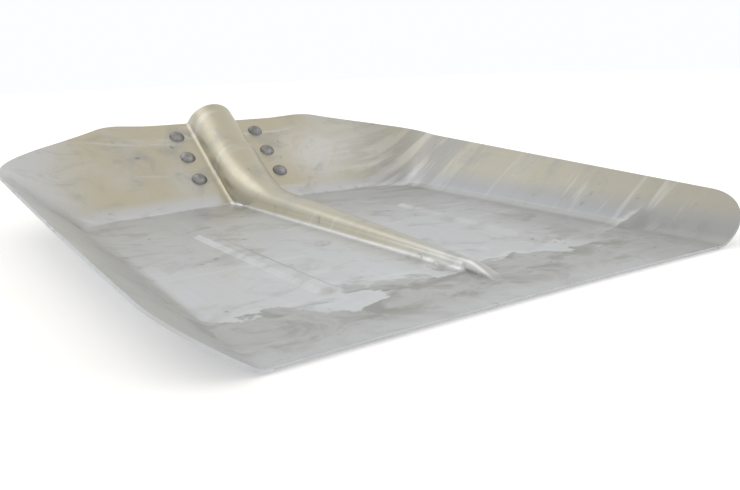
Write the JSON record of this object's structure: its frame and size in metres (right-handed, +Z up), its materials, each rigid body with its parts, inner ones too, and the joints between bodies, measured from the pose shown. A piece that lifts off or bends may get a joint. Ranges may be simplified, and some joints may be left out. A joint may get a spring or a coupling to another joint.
{
  "type": "scoop shovel head",
  "caption": "Pressed aluminium scoop shovel head: open tray with sloping walls, centre ridge and a riveted tubular handle socket at the back.",
  "frame": {"origin": "on the ground plane under the middle of the head's overall length and width", "axes": "+X to the right seen from the digging edge, +Y back towards the handle socket, +Z up"},
  "size_m": [0.384, 0.4337, 0.0805],
  "materials": {
    "sheet": "bright mill finish with rub marks and a dried film along the front",
    "socket_plate": "mill finish",
    "rivet": "dull, darker than the sheet"
  },
  "bodies": {
    "root": {"blade": "sheet", "socket_back": "socket_plate", "rivet_left_bottom": "rivet", "rivet_left_middle": "rivet", "rivet_left_top": "rivet", "rivet_right_bottom": "rivet", "rivet_right_middle": "rivet", "rivet_right_top": "rivet"}
  },
  "joints": []
}
